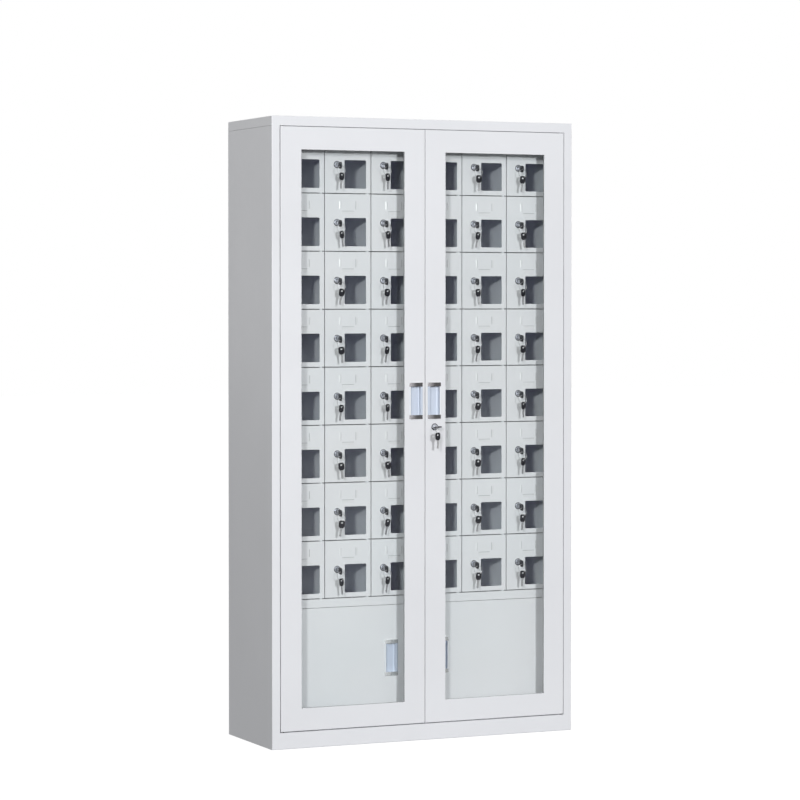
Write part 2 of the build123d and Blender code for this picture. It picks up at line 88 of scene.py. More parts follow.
# ---- Locks and keys: (x, z) of the locks, radii, and lengths along the lock and the key ----
CELL_LOCK, GLASS_LOCK = (40.0, 85.25), (31.0, 935.0)
BEZEL_R, BARREL_R, PLUG_R = 10.5, 8.0, 6.5
PLUG_PROUD, PLUG_FACE, KEYWAY_HALF_WIDTH, KEYWAY_HALF_HEIGHT = 2.0, 3.0, 1.3, 4.0
BARREL_END, CELL_CAM_REACH = 17.0, 28.0
GLASS_CAM_Y, GLASS_CAM_REACH = 19.5, 35.0
CAM_HALF, CAM_THICKNESS = 4.5, 2.0
NUT_ACROSS, NUT_THICKNESS = 19.0, 4.0
BEZEL_H, SHOULDER = 2.2, 9.8
BOW_LENGTH, BOW_HALF, HOLE_FROM_END = 23.0, 10.0, 7.0
BOW_THICKNESS, GRIP_THICKNESS = 2.6, 2.9
BLADE_LENGTH, BLADE_HALF, BLADE_THICKNESS, RAIL_THICKNESS = 25.0, 3.75, 2.2, 2.5
BOW_END = HOLE_FROM_END - BOW_LENGTH
HOLE_REACH = BEZEL_H + SHOULDER + BOW_LENGTH - HOLE_FROM_END
RING_R, RING_WIRE = 12.5, 0.7
RING_DROP = RING_R + 1.6
KEY_SAG, DROOP, KEY_TURN = 1.0, math.radians(5), math.radians(-8)
SWAY, LEAN, SPIN = (0.02, 0.14), (-0.12, 0.2), (-1.5, -0.95)
GLASS_RING_TURN, GLASS_RING_SAG, GLASS_SPARE_TWIST = math.radians(229.5), 8.5, math.radians(-27)


# ---- Outlines in a plane ----
def arc(cx, cy, r, start, end, steps):
    """Points on an arc, angles in degrees."""
    angles = [math.radians(start + (end - start) * i / steps) for i in range(steps + 1)]
    return [(cx + r * math.cos(a), cy + r * math.sin(a)) for a in angles]


def circle(cx, cy, r, steps=24):
    return arc(cx, cy, r, 0, 360, steps)[:-1]


def rounded(x0, x1, z0, z1, r, steps=4):
    """Rounded rectangle, counter-clockwise from its lower left corner."""
    corners = ((x0 + r, z0 + r, 180), (x1 - r, z0 + r, 270), (x1 - r, z1 - r, 0), (x0 + r, z1 - r, 90))
    return [p for cx, cz, a in corners for p in arc(cx, cz, r, a, a + 90, steps)]


def grown(rect, d, r):
    """The loop of the rectangle (x0, x1, z0, z1) grown by d, its corners rounded by r before that."""
    x0, x1, z0, z1 = rect
    return rounded(x0 - d, x1 + d, z0 - d, z1 + d, max(r + d, 0.05))


# ---- Solids ----
def on_plane(points, y):
    return [Vector((x, y, z)) for x, z in points]


def add_wall(bm, a, b):
    """Quads between two rings of as many vertices."""
    for i in range(len(a)):
        j = (i + 1) % len(a)
        bm.faces.new((a[i], a[j], b[j], b[i]))


def loops_solid(loops, closed=True):
    """Joins loops of equal length: closed joins the last to the first, else both ends are filled."""
    bm = bmesh.new()
    rings = [[bm.verts.new(p) for p in loop] for loop in loops]
    for a, b in zip(rings, rings[1:] + rings[:1] if closed else rings[1:]):
        add_wall(bm, a, b)
    if not closed:
        bm.faces.new(rings[0])
        bm.faces.new(rings[-1])
    bmesh.ops.recalc_face_normals(bm, faces=bm.faces)
    return bm


def sheet_skin(chains):
    """Closed skin of a pressed sheet with openings.

    Each chain of loops leads from the front face to the inside face: the first round the sheet's outer
    edge, each further one round an opening. The loops of one chain have as many points.
    """
    bm = bmesh.new()
    made = [[[bm.verts.new(p) for p in loop] for loop in chain] for chain in chains]
    edges = [
        [[bm.edges.new((ring[i], ring[(i + 1) % len(ring)])) for i in range(len(ring))] for ring in chain]
        for chain in made
    ]
    for chain in made:
        for a, b in zip(chain, chain[1:]):
            add_wall(bm, a, b)
    for end in (0, -1):
        border = [edge for chain in edges for edge in chain[end]]
        bmesh.ops.triangle_fill(bm, use_beauty=True, use_dissolve=False, edges=border)
    bmesh.ops.recalc_face_normals(bm, faces=bm.faces)
    return bm


def block(x, y, z, edge=0.3, keep=None):
    """Box between (low, high) pairs with rounded edges, or only those whose middle keep picks."""
    bm = bmesh.new()
    bmesh.ops.create_cube(bm, size=1)
    size = Vector((x[1] - x[0], y[1] - y[0], z[1] - z[0]))
    middle = Vector((x[0] + x[1], y[0] + y[1], z[0] + z[1])) / 2
    for v in bm.verts:
        v.co = Vector((v.co.x * size.x, v.co.y * size.y, v.co.z * size.z)) + middle
    edges = [e for e in bm.edges if keep is None or keep((e.verts[0].co + e.verts[1].co) / 2)]
    if edge:
        bmesh.ops.bevel(bm, geom=edges, offset=edge, segments=2, affect="EDGES", profile=0.5)
    return bm


def turned(profile, steps=32):
    """Solid of revolution about the local Y axis: profile holds (radius, y) pairs from axis to axis."""
    bm = bmesh.new()
    rings = []
    for r, y in profile:
        if r < 1e-6:
            rings.append([bm.verts.new((0, y, 0))])
        else:
            rings.append([bm.verts.new((px, y, pz)) for px, pz in circle(0, 0, r, steps)])
    for a, b in zip(rings, rings[1:]):
        for i in range(steps):
            j = (i + 1) % steps
            quad = [a[i % len(a)], a[j % len(a)], b[j % len(b)], b[i % len(b)]]
            bm.faces.new(list(dict.fromkeys(quad)))
    bmesh.ops.recalc_face_normals(bm, faces=bm.faces)
    return bm


def collar(profile):
    """Ring about the local Y axis: profile holds the (radius, y) pairs of its closed cross section."""
    return loops_solid([on_plane(circle(0, 0, r, 32), y) for r, y in profile])


def key_ring():
    """Wire ring whose axis is local Y."""
    return collar(circle(RING_R, 0, RING_WIRE, 8))


def plate(loops, thickness, edge=0.3, steps=2):
    """Flat piece in the XZ plane, y from 0 to thickness: the first loop is its outline, the rest holes."""
    curve = bpy.data.curves.new("outline", "CURVE")
    curve.dimensions, curve.fill_mode = "2D", "BOTH"
    curve.extrude = thickness / 2 - edge
    curve.bevel_depth, curve.bevel_resolution, curve.offset = edge, steps, -edge
    for points in loops:
        spline = curve.splines.new("POLY")
        spline.points.add(len(points) - 1)
        for target, (px, pz) in zip(spline.points, points):
            target.co = (px, pz, 0, 1)
        spline.use_cyclic_u = True
    holder = bpy.data.objects.new("outline", curve)
    bpy.context.scene.collection.objects.link(holder)
    bpy.context.view_layer.update()
    graph_now = bpy.context.evaluated_depsgraph_get()
    mesh = bpy.data.meshes.new_from_object(holder.evaluated_get(graph_now))
    bm = bmesh.new()
    bm.from_mesh(mesh)
    bmesh.ops.remove_doubles(bm, verts=bm.verts, dist=1e-4)
    bm.transform(shift(y=thickness / 2) @ turn(math.pi / 2, "X"))
    bmesh.ops.recalc_face_normals(bm, faces=bm.faces)
    bpy.data.objects.remove(holder)
    bpy.data.meshes.remove(mesh)
    bpy.data.curves.remove(curve)
    return bm


def bent_sheet(points, radius, low, high):
    """Sheet bent along a line of centre points (x, z), drawn out along Y from low to high."""
    line, steps = [Vector(points[0])], 4
    for before, here, after in zip(points, points[1:], points[2:]):
        here = Vector(here)
        a, b = (Vector(before) - here).normalized(), (Vector(after) - here).normalized()
        half_angle = a.angle(b) / 2
        cut = radius / math.tan(half_angle)
        centre = here + (a + b).normalized() * radius / math.sin(half_angle)
        start, end = here + a * cut - centre, here + b * cut - centre
        line += [centre + start.slerp(end, i / steps) for i in range(steps + 1)]
    line.append(Vector(points[-1]))
    left, right = [], []
    for i, p in enumerate(line):
        along = (line[min(i + 1, len(line) - 1)] - line[max(i - 1, 0)]).normalized()
        across = Vector((-along.y, along.x)) * SHEET / 2
        left.append(p + across)
        right.append(p - across)
    bm = bmesh.new()
    rings = [[bm.verts.new((p.x, y, p.y)) for p in left + right[::-1]] for y in (low, high)]
    add_wall(bm, *rings)
    for ring in rings:
        for i in range(len(line) - 1):
            bm.faces.new((ring[i], ring[i + 1], ring[-2 - i], ring[-1 - i]))
    bmesh.ops.recalc_face_normals(bm, faces=bm.faces)
    return bm


def moved(bm, matrix):
    bm.transform(matrix)
    if matrix.determinant() < 0:
        bmesh.ops.reverse_faces(bm, faces=bm.faces)
    return bm


def shift(x=0, y=0, z=0):
    return Matrix.Translation((x, y, z))


def turn(angle, axis):
    return Matrix.Rotation(angle, 4, axis)


MIRROR = Matrix.Scale(-1, 4, (1, 0, 0))
CREASE = math.radians(35)


def finish_piece(name, parts, body, nodes, place=Matrix()):
    """One object in metres from (solid, material) parts, riding on its body and standing for its nodes."""
    whole = bmesh.new()
    materials = []
    for solid, material in parts:
        if material not in materials:
            materials.append(material)
        scratch = bpy.data.meshes.new("scratch")
        solid.to_mesh(scratch)
        scratch.transform(place)
        if place.determinant() < 0:
            scratch.flip_normals()
        start = len(whole.faces)
        whole.from_mesh(scratch)
        whole.faces.ensure_lookup_table()
        for face in whole.faces[start:]:
            face.material_index = materials.index(material)
            face.smooth = True
        bpy.data.meshes.remove(scratch)
    mesh = bpy.data.meshes.new(name)
    whole.to_mesh(mesh)
    whole.free()
    mesh.transform(Matrix.Scale(0.001, 4))
    for material in materials:
        mesh.materials.append(material)
    mesh.set_sharp_from_angle(angle=CREASE)
    piece = bpy.data.objects.new(name, mesh)
    bpy.context.scene.collection.objects.link(piece)
    weigh = piece.modifiers.new("weigh", "WEIGHTED_NORMAL")
    weigh.keep_sharp = True
    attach(piece, body)
    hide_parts(*nodes)
    return piece


# ---- Materials ----
MILK_SHARE = 0.022


def graph(name):
    material = bpy.data.materials.new(name)
    material.use_nodes = True
    nodes, links = material.node_tree.nodes, material.node_tree.links
    return material, nodes, links, nodes["Principled BSDF"]


def noise(nodes, links, scale, detail=2.0, roughness=0.5, stretch=(1, 1, 1)):
    where = nodes.new("ShaderNodeTexCoord")
    mapping = nodes.new("ShaderNodeMapping")
    mapping.inputs["Scale"].default_value = stretch
    texture = nodes.new("ShaderNodeTexNoise")
    texture.inputs["Scale"].default_value = scale
    texture.inputs["Detail"].default_value = detail
    texture.inputs["Roughness"].default_value = roughness
    links.new(where.outputs["Object"], mapping.inputs["Vector"])
    links.new(mapping.outputs["Vector"], texture.inputs["Vector"])
    return texture.outputs["Fac"]


def spread(nodes, links, fac, low, high):
    """Maps a texture's middle range to low..high."""
    remap = nodes.new("ShaderNodeMapRange")
    remap.inputs["From Min"].default_value, remap.inputs["From Max"].default_value = 0.3, 0.7
    remap.inputs["To Min"].default_value, remap.inputs["To Max"].default_value = low, high
    links.new(fac, remap.inputs["Value"])
    return remap.outputs["Result"]


def blend_colour(nodes, links, fac, first, second):
    mix = nodes.new("ShaderNodeMix")
    mix.data_type = "RGBA"
    links.new(fac, mix.inputs["Factor"])
    mix.inputs["A"].default_value = (*first, 1)
    mix.inputs["B"].default_value = (*second, 1)
    return mix.outputs["Result"]


def mottle(nodes, links, shader, fac, first, second):
    """Base colour that wanders from the first colour to the second with a texture."""
    share = spread(nodes, links, fac, 0, 1)
    links.new(blend_colour(nodes, links, share, first, second), shader.inputs["Base Color"])


def bump(nodes, links, shader, fac, strength, distance):
    node = nodes.new("ShaderNodeBump")
    node.inputs["Strength"].default_value = strength
    node.inputs["Distance"].default_value = distance
    links.new(fac, node.inputs["Height"])
    links.new(node.outputs["Normal"], shader.inputs["Normal"])


def powder_coat(name, colour, tone=0.02, rough=(0.28, 0.38)):
    """Satin powder coat: fine orange peel, faint unevenness of tone and of gloss."""
    material, nodes, links, shader = graph(name)
    cloud = noise(nodes, links, 3.1, 3)
    light = tuple(min(1, c * (1 + tone)) for c in colour)
    dark = tuple(c * (1 - tone) for c in colour)
    mottle(nodes, links, shader, cloud, dark, light)
    peel = noise(nodes, links, 620, 2)
    links.new(spread(nodes, links, noise(nodes, links, 45, 4), *rough), shader.inputs["Roughness"])
    shader.inputs["Specular IOR Level"].default_value = 0.4
    bump(nodes, links, shader, peel, 0.12, 0.0004)
    return material


def metal(name, colour, roughness, scale, streak=(1, 1, 1), metallic=1.0):
    """Metal with fine wear marks, drawn out along one axis where streak says so."""
    material, nodes, links, shader = graph(name)
    marks = noise(nodes, links, scale, 4, 0.6, streak)
    dark = tuple(c * 0.9 for c in colour)
    mottle(nodes, links, shader, marks, dark, colour)
    links.new(spread(nodes, links, marks, roughness * 0.8, roughness * 1.25), shader.inputs["Roughness"])
    shader.inputs["Metallic"].default_value = metallic
    bump(nodes, links, shader, marks, 0.05, 0.0002)
    return material


def plastic(name, colour, roughness, specular=0.5):
    """Moulded plastic with a fine grain."""
    material, nodes, links, shader = graph(name)
    grain = noise(nodes, links, 900, 3)
    light = tuple(c * 1.25 + 0.004 for c in colour)
    mottle(nodes, links, shader, grain, colour, light)
    links.new(spread(nodes, links, grain, roughness * 0.85, roughness * 1.2), shader.inputs["Roughness"])
    shader.inputs["Specular IOR Level"].default_value = specular
    bump(nodes, links, shader, grain, 0.15, 0.0003)
    return material


def clear_sheet(name, tint, gloss=(1, 1, 1), haze=0.0, index=1.5, milk=None):
    """Clear sheet that lets lamps through: tinted, its front faces mirroring more towards grazing angles.

    With milk, a little of the light is scattered in that colour.
    """
    material, nodes, links, shader = graph(name)
    nodes.remove(shader)
    through = nodes.new("ShaderNodeBsdfTransparent")
    smear = spread(nodes, links, noise(nodes, links, 2.3, 4, 0.6), 0, 1)
    pale = tuple(min(1, c * 1.012) for c in tint)
    links.new(blend_colour(nodes, links, smear, tint, pale), through.inputs["Color"])
    shine = nodes.new("ShaderNodeBsdfGlossy")
    shine.inputs["Color"].default_value = (*gloss, 1)
    gloss_marks = noise(nodes, links, 30, 3)
    links.new(spread(nodes, links, gloss_marks, 0.02, 0.05 + haze), shine.inputs["Roughness"])
    inside = through.outputs["BSDF"]
    if milk:
        cloud = nodes.new("ShaderNodeBsdfDiffuse")
        cloud.inputs["Color"].default_value = (*milk, 1)
        share = nodes.new("ShaderNodeMixShader")
        share.inputs["Fac"].default_value = MILK_SHARE
        links.new(through.outputs["BSDF"], share.inputs[1])
        links.new(cloud.outputs["BSDF"], share.inputs[2])
        inside = share.outputs["Shader"]
    fresnel = nodes.new("ShaderNodeFresnel")
    fresnel.inputs["IOR"].default_value = index
    front = nodes.new("ShaderNodeMixShader")
    links.new(fresnel.outputs["Fac"], front.inputs["Fac"])
    links.new(inside, front.inputs[1])
    links.new(shine.outputs["BSDF"], front.inputs[2])
    side = nodes.new("ShaderNodeNewGeometry")
    either = nodes.new("ShaderNodeMixShader")
    links.new(side.outputs["Backfacing"], either.inputs["Fac"])
    links.new(front.outputs["Shader"], either.inputs[1])
    links.new(through.outputs["BSDF"], either.inputs[2])
    links.new(either.outputs["Shader"], nodes["Material Output"].inputs["Surface"])
    return material


body_paint = powder_coat("body_powder_coat", (0.775, 0.785, 0.815))
# Darker copy of the body paint for the recessed doors and the rack: painted shade.
recessed_painted_shade = powder_coat("recess_coat_painted_shade", (0.747, 0.76, 0.775))
# The lances are glossier than the leaf, and lighter than it as a painted highlight.
lance_glossy_painted_highlight = powder_coat("lance_coat_painted_highlight", (0.77, 0.78, 0.79), rough=(0.2, 0.26))
# Paler copy of the paint for the compartments' side walls and the hinge lugs: painted light.
rack_wall_painted_light = powder_coat("rack_coat_painted_light", (0.92, 0.96, 0.985), tone=0.005)
# Dark paint on the slits under the lances: painted shade.
slit_painted_shade_coat = powder_coat("slit_coat_painted_shade", (0.30, 0.31, 0.32))
# Near-black paint on the rack's front edges behind the seams: painted shade.
seam_painted_shade_coat = powder_coat("seam_coat_painted_shade", (0.04, 0.04, 0.042))
glass = clear_sheet("float_glass", (0.985, 0.996, 0.998))
acrylic = clear_sheet(
    "cell_window_acrylic", (0.985, 0.992, 1.0), gloss=(0.8, 0.9, 1.0), haze=0.03, index=1.35,
    milk=(0.30, 0.26, 0.85),
)
chrome = metal("lock_chrome", (0.45, 0.47, 0.52), 0.22, 500)
rim_chrome = metal("rim_dark_chrome", (0.10, 0.105, 0.12), 0.22, 450)
dark_chrome = metal("cap_dark_chrome", (0.38, 0.37, 0.385), 0.2, 400)
bright_caps = metal("cap_bright_chrome", (0.90, 0.91, 0.91), 0.2, 400, metallic=0.78)
steel = metal("bright_steel", (0.60, 0.60, 0.61), 0.28, 700, streak=(1, 1, 0.15))
# Hinge pins darkened to the grey of the shaded gaps they sit in: dark steel, partly painted shade.
pin_painted_shade_steel = metal("dark_pin_painted_shade", (0.16, 0.16, 0.165), 0.5, 600, metallic=0.6)
aluminium = metal("anodised_aluminium", (0.58, 0.64, 0.745), 0.55, 900, streak=(1, 1, 0.02), metallic=0.3)
# Pale metal on one rim strip of each handle: painted highlight.
handle_rim_painted_highlight = metal("rim_strip_painted_highlight", (0.90, 0.92, 0.95), 0.4, 600, metallic=0.3)
lock_satin = metal("lock_satin_nickel", (0.53, 0.55, 0.60), 0.42, 500, metallic=0.6)
key_nickel = metal("key_nickel", (0.60, 0.60, 0.61), 0.3, 700, streak=(1, 1, 0.2), metallic=0.8)
key_plastic = plastic("key_bow_plastic", (0.010, 0.010, 0.015), 0.38, specular=0.28)
bead_plastic = plastic("glazing_bead", (0.32, 0.33, 0.34), 0.45)


# ---- Cabinet body ----
OUTER = (-HALF_WIDTH, HALF_WIDTH, 0, HEIGHT)
INNER = (-STRIP_X, STRIP_X, TOE, HEADER)


def bend(rect, radius, y, start, end, corner=0.0, sign=-1, steps=4):
    """Loops round a folded edge: inset and depth follow a circle from start to end, in degrees."""
    loops = []
    for i in range(steps + 1):
        a = math.radians(start + (end - start) * i / steps)
        inset = radius * (1 - math.cos(a))
        depth = y + radius * (1 - math.sin(a))
        loops.append(on_plane(grown(rect, sign * inset, corner), depth))
    return loops


SIDE_START, SIDE_TOP = FRONT + 2.6, HEADER - 0.25


def front_frame():
    """Header, side strips and toe strip in one surface, turned back into the jambs."""
    loops = [on_plane(grown(OUTER, 0, FRAME_BEND), SIDE_START)]
    loops += bend(OUTER, FRAME_BEND, FRONT, 0, 90, corner=FRAME_BEND)
    loops += bend(INNER, JAMB_BEND, FRONT, 90, 0, corner=JAMB_CORNER, sign=1)
    loops += [
        on_plane(grown(INNER, 0, JAMB_CORNER), RACK_FRONT),
        on_plane(grown(INNER, SHEET, JAMB_CORNER), RACK_FRONT),
        on_plane(grown(INNER, SHEET, JAMB_CORNER), FRONT + SHEET),
        on_plane(grown(OUTER, -SHEET, FRAME_BEND), FRONT + SHEET),
        on_plane(grown(OUTER, -SHEET, FRAME_BEND), SIDE_START),
    ]
    return loops_solid(loops)


def roof_sheet():
    """Roof with its two turned-down edges, bent from one sheet."""
    side_x, edge_z, top_z = HALF_WIDTH - SHEET / 2, HEADER + 0.25, HEIGHT - SHEET / 2
    line = [(-side_x, edge_z), (-side_x, top_z), (side_x, top_z), (side_x, edge_z)]
    return bent_sheet(line, 1.5, SIDE_START, BACK - 0.2)


def surround():
    """Flat sheet above and beside the bank of doors, in line with the rack's front."""
    outline = [
        (-STRIP_X, TOE), (-BANK_HALF, TOE), (-BANK_HALF, BANK_TOP + 0.5), (BANK_HALF, BANK_TOP + 0.5),
        (BANK_HALF, TOE), (STRIP_X, TOE), (STRIP_X, HEADER), (-STRIP_X, HEADER),
    ]
    return moved(plate([outline], SHEET, edge=0.1), shift(y=RACK_FRONT))


def base_ring():
    """Flange round the foot of the cabinet, with a strap across its middle."""
    low, high = FRONT + SHEET + BASE_FLANGE, RACK_BACK - BASE_FLANGE
    near, far = BASE_STRAP / 2, INNER_SIDE - BASE_FLANGE
    loops = [
        rounded(-INNER_SIDE, INNER_SIDE, FRONT + 1.2, RACK_BACK, 1),
        rounded(-far, -near, low, high, 1)[::-1],
        rounded(near, far, low, high, 1)[::-1],
    ]
    lying = turn(math.pi / 2, "X") @ Matrix.Scale(-1, 4, (0, 0, 1))
    return moved(plate(loops, SHEET, edge=0.2), lying)


def side_sheet(x):
    """Side of the cabinet, sharp where it meets the front and at its foot."""
    y, z = (SIDE_START, BACK), (0, SIDE_TOP)
    return block(x, y, z, keep=lambda middle: middle.y > SIDE_START + 1 and middle.z > 1)


shell_solids = [
    front_frame(),
    roof_sheet(),
    surround(),
    block((-INNER_SIDE, INNER_SIDE), (RACK_FRONT + 0.02, RACK_BACK), (TOE - SHEET, TOE), 0.1),
    base_ring(),
    side_sheet((-HALF_WIDTH, -INNER_SIDE)),
    side_sheet((INNER_SIDE, HALF_WIDTH)),
]
shell_parts = [(solid, body_paint) for solid in shell_solids]
back_x = (-INNER_SIDE + 0.5, INNER_SIDE - 0.5)
back_sheet = block(back_x, (RACK_BACK, BACK - 0.2), (0.3, HEIGHT - 1.6), 0.4)
finish_piece("cabinet_body", shell_parts, "cabinet", ["cabinet_shell"])
finish_piece("back_panel", [(back_sheet, body_paint)], "cabinet", ["cabinet_shell"])


# ---- Doors made of folded sheet ----
def folded_door(x, z, front, depth, handle_at, view=None):
    """Folded door with back lips, a hole for its flush handle and, with view, a glazed opening."""
    rect, back = (*x, *z), front + depth
    fold = [
        (0, back - 0.8), (-0.25, back - 0.25), (-0.8, back), (-BACK_LIP, back),
        (-BACK_LIP, back - SHEET), (-SHEET, back - SHEET), (-SHEET, front + SHEET),
    ]
    outer = bend(rect, DOOR_BEND, front, 90, 0, corner=DOOR_CORNER)
    outer += [on_plane(grown(rect, d, DOOR_CORNER), y) for d, y in fold]
    hole = handle_hole(*handle_at)
    chains = [outer, [on_plane(hole, front), on_plane(hole, front + SHEET)]]
    if view:
        lip = POCKET + BACK_LIP
        pocket = [
            (0, front + PANE_FRONT), (POCKET, front + PANE_FRONT), (POCKET, back - 0.8),
            (POCKET + 0.25, back - 0.25), (POCKET + 0.8, back), (lip, back), (lip, back - SHEET),
            (POCKET + SHEET, back - SHEET), (POCKET + SHEET, front + SHEET),
        ]
        inner = bend(view, VIEW_BEND, front, 90, 0, corner=VIEW_CORNER, sign=1)
        inner += [on_plane(grown(view, d, VIEW_CORNER), y) for d, y in pocket]
        chains.append(inner)
    return sheet_skin(chains)


def handle_hole(x, z):
    half_width, half_height = HANDLE_CUP + 0.2, CHANNEL_HALF + CAP_SEAT + 0.2
    return rounded(x - half_width, x + half_width, z - half_height, z + half_height, 1)


def channel_section(y):
    """Outline (x, y) of the handle's channel: left rim, ribbed hollow, grip lip, right rim and cup."""
    rim, cup, cavity = HANDLE_RIM, HANDLE_CUP, HANDLE_CAVITY
    lip, floor, base = cavity - GRIP_LIP, y + CAVITY_DEPTH, y + CUP_DEPTH
    crest, turn_y = floor - RIB_HEIGHT, floor - CAVITY_BEND
    section = [(-rim, y), (-rim, y - 0.6), (-rim + 0.4, y - 1), (-cavity - 0.3, y - 1), (-cavity, y - 0.7)]
    section += arc(-cavity + CAVITY_BEND, turn_y, CAVITY_BEND, 180, 90, 6)
    for rib in range(RIBS):
        middle = (rib - (RIBS - 1) / 2) * RIB_PITCH
        section += [(middle - 1, floor), (middle - 0.5, crest), (middle + 0.5, crest), (middle + 1, floor)]
    section += arc(cavity - CAVITY_BEND, turn_y, CAVITY_BEND, 90, 0, 6)
    section += [
        (cavity, y + 2), (lip + 0.4, y + 2), (lip, y + 1.6), (lip, y - 0.6), (lip + 0.4, y - 1),
        (rim - 0.4, y - 1), (rim, y - 0.6), (rim, y), (cup, y), (cup, base - 0.4), (cup - 0.4, base),
        (-cup + 0.4, base), (-cup, base - 0.4), (-cup, y),
    ]
    return section


def handle_parts(place, y, cap_material):
    """Flush handle: a drawn channel with a ribbed hollow and a grip lip, a pale strip on one rim as a
    painted highlight, and a crowned cap at each end.
    """
    x, z = place
    low, high = z - CHANNEL_HALF, z + CHANNEL_HALF
    section = channel_section(y)
    channel = loops_solid([[Vector((x + px, py, h)) for px, py in section] for h in (low, high)], False)
    # Only this rim gets the pale strip, a painted highlight.
    rim_x = (x - HANDLE_RIM, x - HANDLE_CAVITY + 0.5)
    parts = [(channel, aluminium), (block(rim_x, (y - 1.35, y - 0.95), (low, high), 0.12), handle_rim_painted_highlight)]
    for cap_z, seat_z in ((low - CAP_HEIGHT, low - CAP_SEAT), (high, high)):
        seat_x, seat_y = (x - HANDLE_CUP, x + HANDLE_CUP), (y - 0.02, y + CUP_DEPTH)
        seat = block(seat_x, seat_y, (seat_z, seat_z + CAP_SEAT), 0.5)
        cap = moved(crowned_cap(HANDLE_RIM), shift(x, y, cap_z))
        parts += [(cap, cap_material), (seat, cap_material)]
    return parts


def crowned_cap(half_width):
    """Cap face: cross sections whose front bulges towards the middle, drawn in at both ends."""
    columns = 12
    places = [(-half_width, 0.25), (-half_width + 0.15, 0.1)]
    places += [((2 * i / columns - 1) * (half_width - 0.5), 0.0) for i in range(columns + 1)]
    places += [(half_width - 0.15, 0.1), (half_width, 0.25)]
    loops = []
    for px, drawn_in in places:
        proud = CAP_PROUD + CAP_CROWN * (1 - abs(px / half_width) ** 1.5) - drawn_in
        low, high = drawn_in, CAP_HEIGHT - drawn_in
        section = [(0, low), *arc(-proud + CAP_EDGE, low + CAP_EDGE, CAP_EDGE, 270, 180, 3)]
        section += [*arc(-proud + CAP_EDGE, high - CAP_EDGE, CAP_EDGE, 180, 90, 3), (0, high)]
        loops.append([Vector((px, py, pz)) for py, pz in section])
    return loops_solid(loops, closed=False)


def glass_pane():
    reach = POCKET - PANE_PLAY
    x, z = (VIEW_X[0] - reach, VIEW_X[1] + reach), (VIEW_Z[0] - reach, VIEW_Z[1] + reach)
    return block(x, (FRONT + PANE_FRONT + 0.05, FRONT + PANE_BACK), z, 0.4)


def bead_ring():
    """Glazing bead behind the pane, its visible side sloped and rounded."""
    section = [(7.4, 6.0), (7.4, 12.0), (4.5, 12.0), (2.2, 11.2), (0.4, 8.6), (-0.4, 7.0), (-0.45, 6.0)]
    return loops_solid([on_plane(grown(VIEW, d, 0.6), FRONT + y) for d, y in section])


def glass_door(side, place):
    body, pane_node = f"{side}_glass_door", f"{side}_glass_pane"
    handle_node = "left_glass_door_handle" if side == "left" else "right_glass_door_hardware"
    skin = folded_door(DOOR_X, DOOR_Z, FRONT, DOOR_DEPTH, DOOR_HANDLE, view=VIEW)
    handle = handle_parts(DOOR_HANDLE, FRONT, dark_chrome)
    bead = [(bead_ring(), bead_plastic)]
    finish_piece(f"{side}_glass_door_frame", [(skin, body_paint)], body, [body], place)
    finish_piece(f"{side}_door_pane", [(glass_pane(), glass)], body, [pane_node], place)
    finish_piece(f"{side}_glazing_bead", bead, body, [pane_node], place)
    finish_piece(f"{side}_door_handle", handle, body, [handle_node], place)


def lower_door(side, place):
    body = f"{side}_lower_door"
    skin = folded_door(LOWER_X, LOWER_Z, BANK_FRONT, LOWER_DEPTH, LOWER_HANDLE)
    handle = handle_parts(LOWER_HANDLE, BANK_FRONT, bright_caps)
    # The lower leaf takes the darker recessed paint: painted shade.
    finish_piece(f"{side}_lower_leaf", [(skin, recessed_painted_shade)], body, [body], place)
    finish_piece(f"{side}_lower_handle", handle, body, [body], place)


for side, place in (("left", Matrix()), ("right", MIRROR)):
    glass_door(side, place)
    lower_door(side, place)


# ---- Locks and keys, about a lock centre with the door's face at y = 0 ----
def bezel_parts():
    """Turned barrel with a dished face round the plug, inside a darker rolled rim."""
    bore, face_r = PLUG_R + 0.1, BARREL_R + 0.3
    barrel = [
        (bore, BARREL_END), (bore, -1.5), (bore + 0.3, -1.8), (7.6, -1.6), (face_r, -1.7),
        (face_r, -0.02), (BARREL_R, -0.02), (BARREL_R, BARREL_END),
    ]
    rim = [
        (face_r, 0), (face_r, -1.9), (8.8, -2.3), (9.6, -2.2), (10.2, -1.8), (BEZEL_R, -1.1), (BEZEL_R, 0),
    ]
    return [(collar(barrel), lock_satin), (collar(rim), rim_chrome)]


def plug_face(half_width=KEYWAY_HALF_WIDTH, half_height=KEYWAY_HALF_HEIGHT):
    """Plug end with its keyway."""
    keyway = rounded(-half_width, half_width, -half_height, half_height, 0.4, 2)
    return moved(plate([circle(0, 0, PLUG_R, 32), keyway[::-1]], PLUG_FACE), shift(y=-PLUG_PROUD))


def nut_solid():
    hexagon = circle(0, 0, NUT_ACROSS / 2 / math.cos(math.pi / 6), 6)
    bore = circle(0, 0, BARREL_R + 0.02)
    return moved(plate([hexagon, bore[::-1]], NUT_THICKNESS, edge=0.4), shift(y=SHEET))


def cam_solid(y, reach, up):
    """Flat cam with a round end about the lock's axis and a chamfered tip."""
    outline = arc(0, 0, CAM_HALF, 180, 360, 8)
    outline += [
        (CAM_HALF, reach - 1), (CAM_HALF - 1, reach), (-CAM_HALF + 1, reach), (-CAM_HALF, reach - 1),
    ]
    if not up:
        outline = [(-px, -pz) for px, pz in outline]
    return moved(plate([outline], CAM_THICKNESS), shift(y=y))


def screw_solid(y):
    """Domed screw head."""
    dome = turned([(0, 2.0), (1.4, 1.95), (2.8, 1.5), (3.7, 0.8), (4, 0), (0, 0)], 20)
    return moved(dome, shift(y=y))


def slab(loops, thickness, edge, steps=1):
    """Flat piece like plate, with its middle at y = 0."""
    return moved(plate(loops, thickness, edge, steps), shift(y=-thickness / 2))


